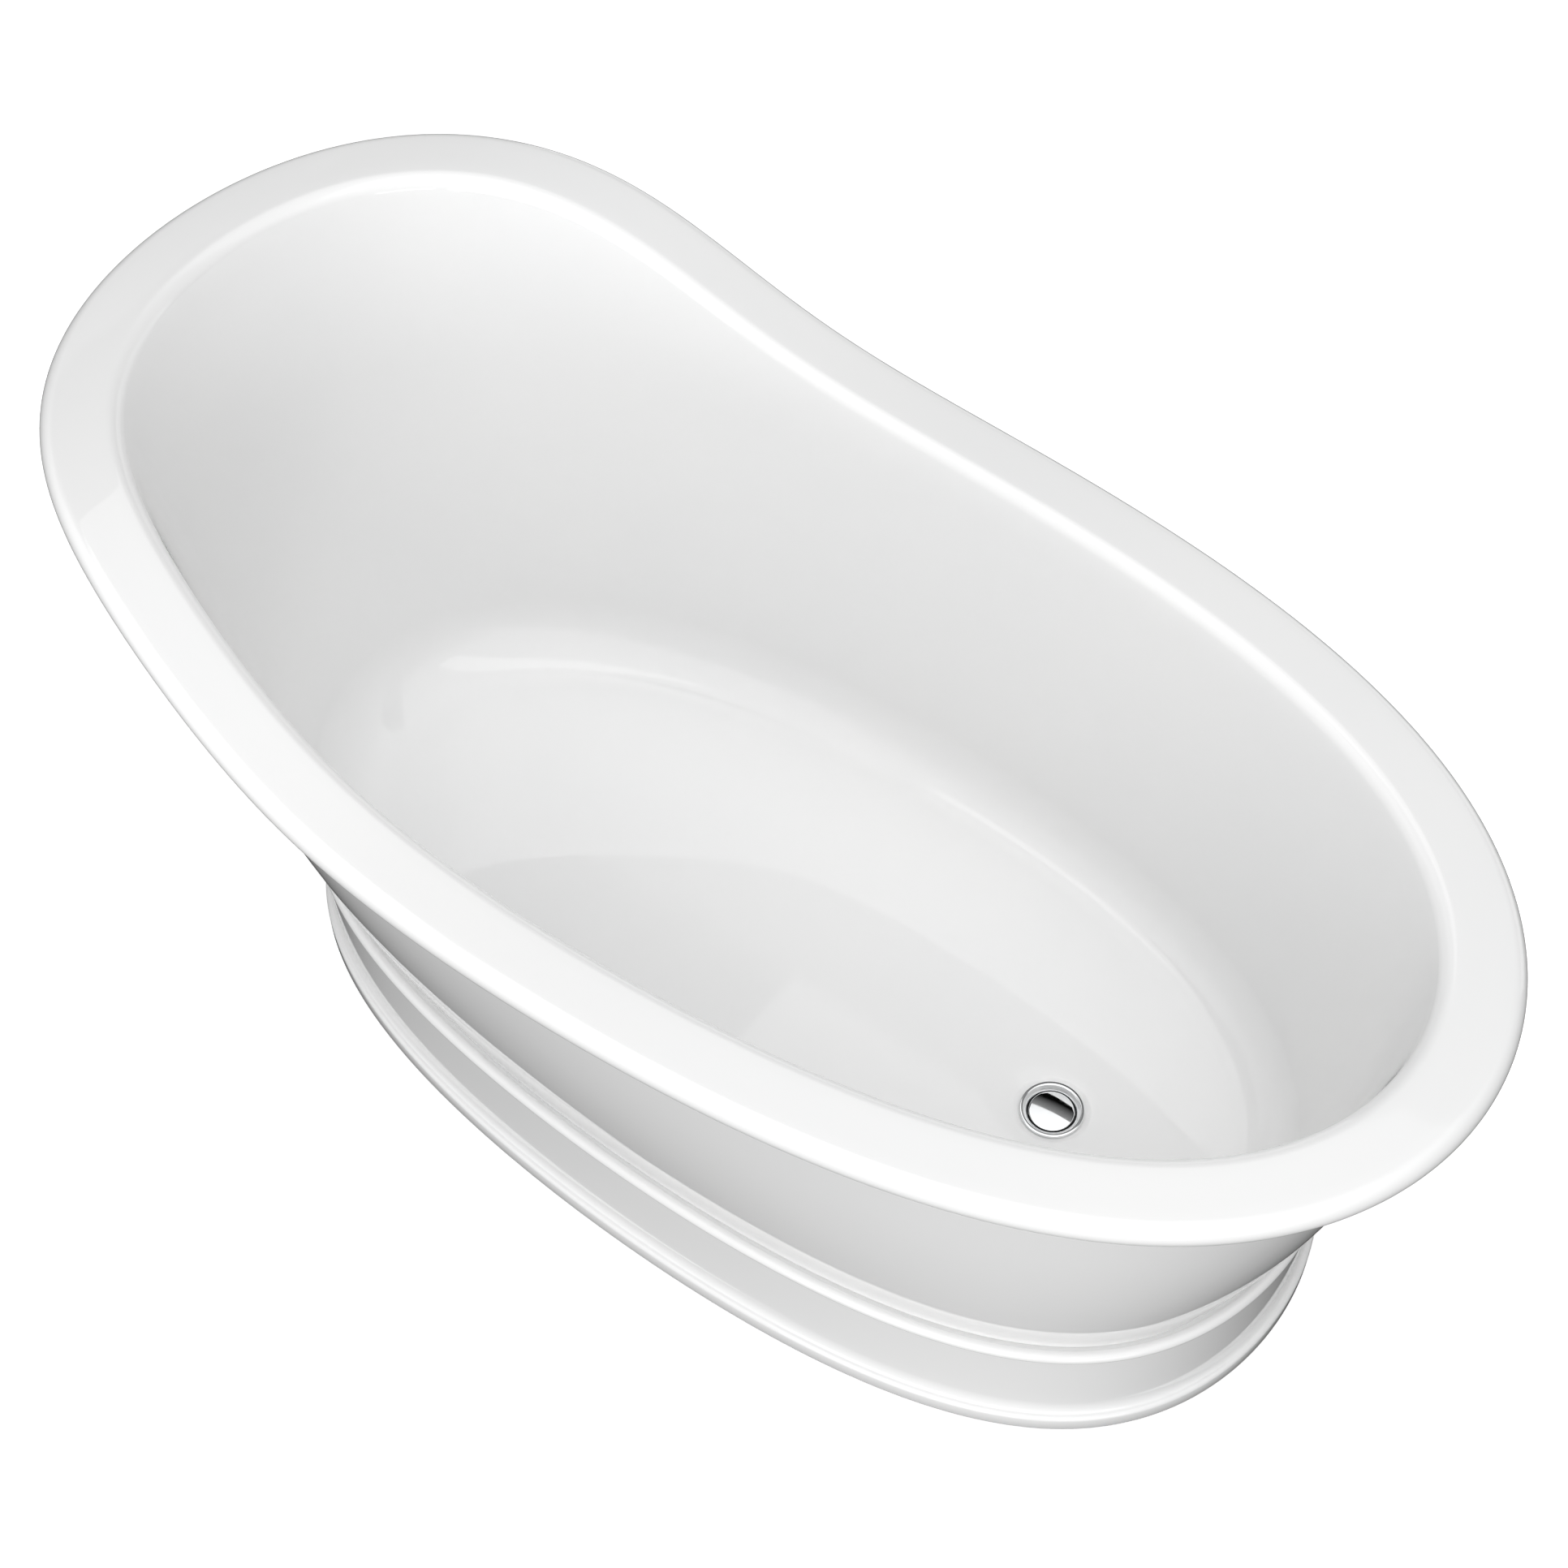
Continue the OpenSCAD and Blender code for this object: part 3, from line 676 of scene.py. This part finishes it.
# ------------------------------------------------------------------- materials


def new_material(name):
    material = bpy.data.materials.new(name)
    material.use_nodes = True
    tree = material.node_tree
    return material, tree, tree.nodes["Principled BSDF"]


def noise(tree, scale, detail=2.0, stretch=(1.0, 1.0, 1.0)):
    """Noise in the object's own coordinates."""
    where = tree.nodes.new("ShaderNodeTexCoord")
    mapping = tree.nodes.new("ShaderNodeMapping")
    mapping.inputs["Scale"].default_value = stretch
    tree.links.new(where.outputs["Object"], mapping.inputs["Vector"])
    texture = tree.nodes.new("ShaderNodeTexNoise")
    texture.inputs["Scale"].default_value = scale
    texture.inputs["Detail"].default_value = detail
    tree.links.new(mapping.outputs["Vector"], texture.inputs["Vector"])
    return texture


def ramp(tree, source, low, high, start=0.35, end=0.65):
    """Colours from low to high as the source goes from start to end."""
    node = tree.nodes.new("ShaderNodeValToRGB")
    node.color_ramp.elements[0].position = start
    node.color_ramp.elements[1].position = end
    node.color_ramp.elements[0].color = (*low, 1.0)
    node.color_ramp.elements[1].color = (*high, 1.0)
    tree.links.new(source, node.inputs["Fac"])
    return node.outputs["Color"]


def paint(tree, texture, shader, socket, low, high):
    """Drives a socket of the shader from low to high by the texture."""
    tree.links.new(ramp(tree, texture.outputs["Fac"], low, high), shader.inputs[socket])


def bump(tree, source, shader, strength, distance):
    node = tree.nodes.new("ShaderNodeBump")
    node.inputs["Strength"].default_value = strength
    node.inputs["Distance"].default_value = distance
    tree.links.new(source, node.inputs["Height"])
    tree.links.new(node.outputs["Normal"], shader.inputs["Normal"])


def grey(value):
    return (value, value, value)


def white_acrylic():
    material, tree, shader = new_material("white_acrylic")
    tint = noise(tree, 3.0, 3.0)
    paint(tree, tint, shader, "Base Color", (0.853, 0.855, 0.855), (0.866, 0.866, 0.864))
    haze = noise(tree, 14.0, 4.0)
    paint(tree, haze, shader, "Roughness", grey(0.02), grey(0.035))
    peel = noise(tree, 9.0, 1.0)
    bump(tree, peel.outputs["Fac"], shader, 0.05, 0.002)
    shader.inputs["IOR"].default_value = 1.49
    return material


def chrome():
    material, tree, shader = new_material("chrome")
    shader.inputs["Metallic"].default_value = 1.0
    cloud = noise(tree, 40.0, 3.0)
    paint(tree, cloud, shader, "Base Color", (0.80, 0.81, 0.82), (0.86, 0.865, 0.87))
    polish = noise(tree, 180.0, 4.0)
    paint(tree, polish, shader, "Roughness", grey(0.02), grey(0.06))
    return material


def zinc_steel():
    material, tree, shader = new_material("zinc_steel")
    shader.inputs["Metallic"].default_value = 1.0
    cloud = noise(tree, 90.0, 5.0)
    paint(tree, cloud, shader, "Base Color", (0.50, 0.51, 0.53), (0.74, 0.74, 0.72))
    paint(tree, cloud, shader, "Roughness", grey(0.42), grey(0.24))
    return material


def frame_steel():
    material, tree, shader = new_material("frame_steel")
    peel = noise(tree, 900.0, 2.0)
    paint(tree, peel, shader, "Base Color", grey(0.012), grey(0.022))
    bump(tree, peel.outputs["Fac"], shader, 0.25, 0.0002)
    shader.inputs["Roughness"].default_value = 0.42
    return material


def rubber():
    material, tree, shader = new_material("rubber")
    grain = noise(tree, 1400.0, 3.0)
    paint(tree, grain, shader, "Base Color", grey(0.014), grey(0.026))
    paint(tree, grain, shader, "Roughness", grey(0.62), grey(0.78))
    bump(tree, grain.outputs["Fac"], shader, 0.2, 0.0002)
    return material


def timber():
    material, tree, shader = new_material("timber")
    chips = noise(tree, 160.0, 6.0, (1.0, 1.0, 0.35))
    paint(tree, chips, shader, "Base Color", (0.34, 0.21, 0.11), (0.66, 0.49, 0.31))
    paint(tree, chips, shader, "Roughness", grey(0.8), grey(0.6))
    bump(tree, chips.outputs["Fac"], shader, 0.3, 0.0004)
    return material


def nylon():
    material, tree, shader = new_material("nylon")
    cloud = noise(tree, 200.0, 3.0)
    paint(tree, cloud, shader, "Base Color", (0.76, 0.75, 0.71), (0.82, 0.81, 0.78))
    paint(tree, cloud, shader, "Roughness", grey(0.42), grey(0.55))
    return material


def brass():
    material, tree, shader = new_material("brass")
    shader.inputs["Metallic"].default_value = 1.0
    turned = noise(tree, 260.0, 3.0, (0.2, 0.2, 6.0))
    paint(tree, turned, shader, "Base Color", (0.60, 0.44, 0.20), (0.78, 0.62, 0.32))
    paint(tree, turned, shader, "Roughness", grey(0.34), grey(0.20))
    return material


def pale_floor():
    material, tree, shader = new_material("pale_floor")
    cloud = noise(tree, 1.5, 2.0)
    paint(tree, cloud, shader, "Base Color", grey(0.90), grey(0.92))
    shader.inputs["Roughness"].default_value = 0.9
    shader.inputs["Emission Color"].default_value = (1.0, 1.0, 1.0, 1.0)
    shader.inputs["Emission Strength"].default_value = 0.5
    return material


def black_cloth():
    """Black, with a painted glow standing in for spill light from the over panel, that dies away past its
    far edge.
    """
    material, tree, shader = new_material("black_cloth")
    weave = noise(tree, 60.0, 3.0)
    paint(tree, weave, shader, "Base Color", grey(0.004), grey(0.01))
    shader.inputs["Roughness"].default_value = 1.0
    shader.inputs["Specular IOR Level"].default_value = 0.0
    where = tree.nodes.new("ShaderNodeTexCoord")
    axes = tree.nodes.new("ShaderNodeSeparateXYZ")
    tree.links.new(where.outputs["Object"], axes.inputs[0])
    past = tree.nodes.new("ShaderNodeMapRange")
    past.inputs["From Min"].default_value = over_far_y
    past.inputs["From Max"].default_value = over_far_y + 0.5
    tree.links.new(axes.outputs["Y"], past.inputs["Value"])
    # Painted glow: emission that stands in for the over panel's spill light, fading to nothing half a
    # metre past its far edge.
    painted_glow = ramp(tree, past.outputs["Result"], grey(0.30), grey(0.0), 0.0, 1.0)
    beyond = tree.nodes.new("ShaderNodeMath")
    beyond.operation = "GREATER_THAN"
    beyond.inputs[1].default_value = over_far_y
    tree.links.new(axes.outputs["Y"], beyond.inputs[0])
    tree.links.new(painted_glow, shader.inputs["Emission Color"])
    tree.links.new(beyond.outputs[0], shader.inputs["Emission Strength"])
    return material


# ----------------------------------------------------------------------- stage


def make_sheet(name, rectangles, z, material):
    """One mesh of level rectangles, each (low x, high x, low y, high y), at height z."""
    points, faces = [], []
    for left, right, near, far in rectangles:
        start = len(points)
        points += [(left, near, z), (right, near, z), (right, far, z), (left, far, z)]
        faces.append((start, start + 1, start + 2, start + 3))
    mesh = bpy.data.meshes.new(name)
    mesh.from_pydata(points, [], faces)
    sheet = bpy.data.objects.new(name, mesh)
    bpy.context.scene.collection.objects.link(sheet)
    sheet.data.materials.append(material)
    return sheet


def make_floor():
    """A floor that takes no part in the light on the tub."""
    half = 12.0
    floor = make_sheet("stage_floor", [(-half, half, -half, half)], 0.0, pale_floor())
    floor.visible_diffuse = False
    floor.visible_glossy = False


def make_camera():
    azimuth = math.radians(37.135)
    elevation = math.radians(51.024)
    target = Vector((0.01878, 0.0, 0.4267))
    distance = 2.768
    back = Vector((
        math.sin(azimuth) * math.cos(elevation),
        -math.cos(azimuth) * math.cos(elevation),
        math.sin(elevation),
    ))
    data = bpy.data.cameras.new("camera")
    data.sensor_width = 36.0
    data.lens = 61.60
    camera = bpy.data.objects.new("camera", data)
    bpy.context.scene.collection.objects.link(camera)
    camera.location = target + back * distance
    camera.rotation_euler = (math.pi / 2 - elevation, 0.0, azimuth)
    bpy.context.scene.camera = camera


def make_world():
    """Soft room light that comes from above and in front and dies away behind the tub."""
    world = bpy.data.worlds.new("studio")
    world.use_nodes = True
    tree = world.node_tree
    where = tree.nodes.new("ShaderNodeTexCoord")
    facing = tree.nodes.new("ShaderNodeVectorMath")
    facing.operation = "DOT_PRODUCT"
    facing.inputs[1].default_value = (0.12, -0.48, 0.87)
    tree.links.new(where.outputs["Generated"], facing.inputs[0])
    sky = tree.nodes.new("ShaderNodeValToRGB")
    steps = ((0.0, 0.03), (0.20, 0.05), (0.33, 0.36), (0.50, 0.68), (0.75, 0.88), (1.0, 1.0))
    while len(sky.color_ramp.elements) < len(steps):
        sky.color_ramp.elements.new(1.0)
    for element, (position, value) in zip(sky.color_ramp.elements, steps):
        element.position = position
        element.color = (*grey(value), 1.0)
    tree.links.new(facing.outputs["Value"], sky.inputs["Fac"])
    background = tree.nodes["Background"]
    background.inputs["Strength"].default_value = 1.06
    tree.links.new(sky.outputs["Color"], background.inputs["Color"])
    bpy.context.scene.world = world
    bpy.context.scene.view_settings.view_transform = "Standard"


def make_panel(name, radiance, centre, across, up):
    """A rectangular soft light with half sides across and up, shining along up x across."""
    across, up = Vector(across), Vector(up)
    data = bpy.data.lights.new(name, "AREA")
    data.shape = "RECTANGLE"
    data.size = 2 * across.length
    data.size_y = 2 * up.length
    data.energy = radiance * math.pi * data.size * data.size_y
    panel = bpy.data.objects.new(name, data)
    bpy.context.scene.collection.objects.link(panel)
    x, y = across.normalized(), up.normalized()
    panel.matrix_world = Matrix((x, y, x.cross(y))).transposed().to_4x4()
    panel.location = centre


def make_lights():
    """Soft panels over the tub, in front of it and behind it, strongest at the foot end's front."""
    middle = ((over_head_x + over_foot_x) / 2, (over_near_y + over_far_y) / 2, over_z)
    across = ((over_foot_x - over_head_x) / 2, 0, 0)
    up = (0, (over_far_y - over_near_y) / 2, 0)
    make_panel("over_panel", 0.46, middle, across, up)
    make_panel("strip_panel", 1.4, (0.5, 0.0, 3.1), (1.5, 0, 0), (0, 0.3, 0))
    make_panel("front_panel", 2.2, (2.0, -4.0, 1.9), (1.0, 0, 0), (0, 0, 1.1))
    make_panel("low_front_panel", 5.2, (1.4, -4.0, 0.4), (1.6, 0, 0), (0, 0, 0.4))
    make_panel("low_corner_panel", 4.5, (4.0, -3.0, 0.4), (0.6, 0.8, 0), (0, 0, 0.4))
    make_panel("back_panel", 1.2, (0.0, 4.0, 1.3), (-3.0, 0, 0), (0, 0, 0.9))


def make_flags():
    """Black cloths beside the over panel, past its far and head edges, which the plug mirrors."""
    far = (-2.6, 1.6, over_far_y, 3.3)
    head = (-2.6, over_head_x, -0.6, over_far_y)
    flags = make_sheet("stage_flags", [far, head], over_z + 0.02, black_cloth())
    flags.visible_camera = False


# ------------------------------------------------------------------------ make

FINISHES = {
    "white_acrylic": white_acrylic(),
    "chrome": chrome(),
    "zinc_steel": zinc_steel(),
    "frame_steel": frame_steel(),
    "rubber": rubber(),
    "timber": timber(),
    "nylon": nylon(),
    "brass": brass(),
}


def finish_cad_nodes():
    """Gives each CAD node the finish that its record names."""
    for part in frame["record"]["subparts"]:
        piece = nodes[part["node"]]
        piece.data.materials.clear()
        piece.data.materials.append(FINISHES[part["material_slot"]])


make_camera()
make_world()
make_lights()
make_floor()
make_flags()
finish_cad_nodes()
make_basin()
make_apron()
make_plinth()
make_waste()
make_plug()
make_seal_ring("plug_seal_ring", "plug_seal", "plug", throat_r - 0.003, 0.0008)
make_seal_ring("waste_seal_ring", "waste_seal", "tub", barrel_r + bore_fit, 0.0012)
make_back_nut()
make_spring()
make_screw_feet()
make_fasteners()
